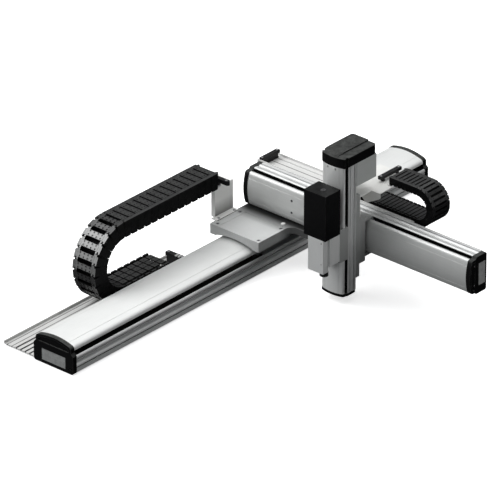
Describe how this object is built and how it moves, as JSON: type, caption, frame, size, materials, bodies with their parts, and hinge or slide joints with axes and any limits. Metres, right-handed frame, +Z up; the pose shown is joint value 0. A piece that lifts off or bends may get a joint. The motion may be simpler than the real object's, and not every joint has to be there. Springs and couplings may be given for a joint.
{
  "type": "three-axis cartesian robot",
  "caption": "Cartesian robot of enclosed screw-driven linear modules: long base, cantilever beam and vertical column carrying a motor-driven tool head, with drag chains.",
  "frame": {"origin": "centre of the base module's mounting holes, on the underside of its foot plates", "axes": "+X along the base module towards its far end, +Y towards the base module's cable tray, +Z up"},
  "size_m": [1.44, 0.887, 0.438],
  "materials": {
    "extrusion": "satin anodised",
    "cover": "fine satin anodised",
    "end_cap": "semi-gloss moulded",
    "end_plate": "brushed",
    "machined": "machined",
    "rail_steel": "ground",
    "bearing_block": "black oxide",
    "motor": "satin black",
    "tray": "powder coat",
    "black_bar": "moulded",
    "chain": "moulded nylon",
    "slider": "satin anodised grey",
    "cast_plate": "fine blasted",
    "screw": "zinc",
    "bracket": "powder coat",
    "motor_cover": "satin grey",
    "belt": "matte",
    "housing": "satin",
    "head_cover": "satin",
    "spindle": "black oxide"
  },
  "bodies": {
    "base": {"base_extrusion": "extrusion", "base_cover": "cover", "base_near_cap": "end_cap", "base_far_cap": "end_cap", "base_end_plates": "end_plate", "base_feet": "machined", "x_rails": "rail_steel", "x_bearings": "bearing_block", "x_motor": "motor", "x_tray": "tray", "x_strain_bar": "black_bar", "x_chain_lower": "chain"},
    "x_screw": {"x_screw": "rail_steel", "x_coupling": "machined"},
    "x_chain_loop": {"x_chain_loop": "chain"},
    "x_carriage": {"x_saddle": "machined", "x_trucks": "rail_steel", "x_nut": "rail_steel", "carriage_plate": "cast_plate", "plate_screws": "screw", "x_chain_bracket": "bracket", "x_chain_bar": "black_bar", "x_chain_upper": "chain", "beam_extrusion": "extrusion", "beam_cover": "cover", "beam_inner_cap": "end_cap", "beam_outer_cap": "end_cap", "beam_end_plates": "end_plate", "y_rails": "rail_steel", "y_bearings": "bearing_block", "y_motor": "motor", "y_tray": "tray", "y_strain_bar": "black_bar", "y_chain_lower": "chain"},
    "y_screw": {"y_screw": "rail_steel"},
    "y_chain_loop": {"y_chain_loop": "chain"},
    "y_carriage": {"y_saddle": "slider", "y_trucks": "rail_steel", "y_nut": "rail_steel", "y_adapter": "slider", "y_chain_bracket": "bracket", "y_chain_bar": "black_bar", "y_chain_upper": "chain", "column_extrusion": "extrusion", "column_cover": "cover", "column_top_cap": "end_cap", "column_bottom_cap": "end_cap", "z_rails": "rail_steel", "z_motor": "motor", "z_motor_cover": "motor_cover", "z_belt": "belt"},
    "z_screw": {"z_screw": "rail_steel"},
    "z_motor_pulley": {"z_motor_pulley": "machined"},
    "z_carriage": {"z_saddle": "slider", "z_trucks": "rail_steel", "z_nut": "rail_steel", "head_housing": "housing", "head_motor": "motor", "head_motor_cover": "head_cover"},
    "spindle": {"spindle": "spindle"}
  },
  "joints": [
    {"name": "x_slide", "type": "slide", "parent": "base", "child": "x_carriage", "axis": [1, 0, 0], "range_m": [-0.5, 0.34], "deforming": ["x_chain_lower", "x_chain_upper"]},
    {"name": "x_chain_roll", "type": "slide", "parent": "base", "child": "x_chain_loop", "axis": [1, 0, 0], "range_m": [-0.2505, 0.1705], "deforming": ["x_chain_lower"]},
    {"name": "x_screw_spin", "type": "hinge", "parent": "base", "child": "x_screw", "pos_m": [0, 0, 0.0355], "axis": [1, 0, 0], "range_deg": [-9360, 6480]},
    {"name": "y_slide", "type": "slide", "parent": "x_carriage", "child": "y_carriage", "axis": [0, 1, 0], "range_m": [-0.18, 0.16], "deforming": ["y_chain_lower", "y_chain_upper"]},
    {"name": "y_chain_roll", "type": "slide", "parent": "x_carriage", "child": "y_chain_loop", "axis": [0, 1, 0], "range_m": [-0.0905, 0.0805], "deforming": ["y_chain_lower"]},
    {"name": "y_screw_spin", "type": "hinge", "parent": "x_carriage", "child": "y_screw", "pos_m": [0.1715, -0.2, 0.169], "axis": [0, 1, 0], "range_deg": [-4680, 3960]},
    {"name": "z_slide", "type": "slide", "parent": "y_carriage", "child": "z_carriage", "axis": [0, 0, 1], "range_m": [-0.085, 0.16]},
    {"name": "z_screw_spin", "type": "hinge", "parent": "y_carriage", "child": "z_screw", "pos_m": [0.06575, -0.308, 0.2], "axis": [0, 0, 1], "range_deg": [-3600, 6120]},
    {"name": "z_pulley_spin", "type": "hinge", "parent": "y_carriage", "child": "z_motor_pulley", "pos_m": [0.126, -0.308, 0.41], "axis": [0, 0, 1], "range_deg": [-3600, 6120]},
    {"name": "spindle_spin", "type": "hinge", "parent": "z_carriage", "child": "spindle", "pos_m": [0, -0.312, 0.1], "axis": [0, 0, 1], "continuous": true}
  ],
  "couplings": [
    {"joint": "x_chain_roll", "follows": "x_slide", "ratio": 0.5},
    {"joint": "x_screw_spin", "follows": "x_slide", "rad_per_m": 314.16},
    {"joint": "y_chain_roll", "follows": "y_slide", "ratio": 0.5},
    {"joint": "y_screw_spin", "follows": "y_slide", "rad_per_m": 392.7},
    {"joint": "z_screw_spin", "follows": "z_slide", "rad_per_m": 628.32},
    {"joint": "z_pulley_spin", "follows": "z_slide", "rad_per_m": 628.32}
  ]
}
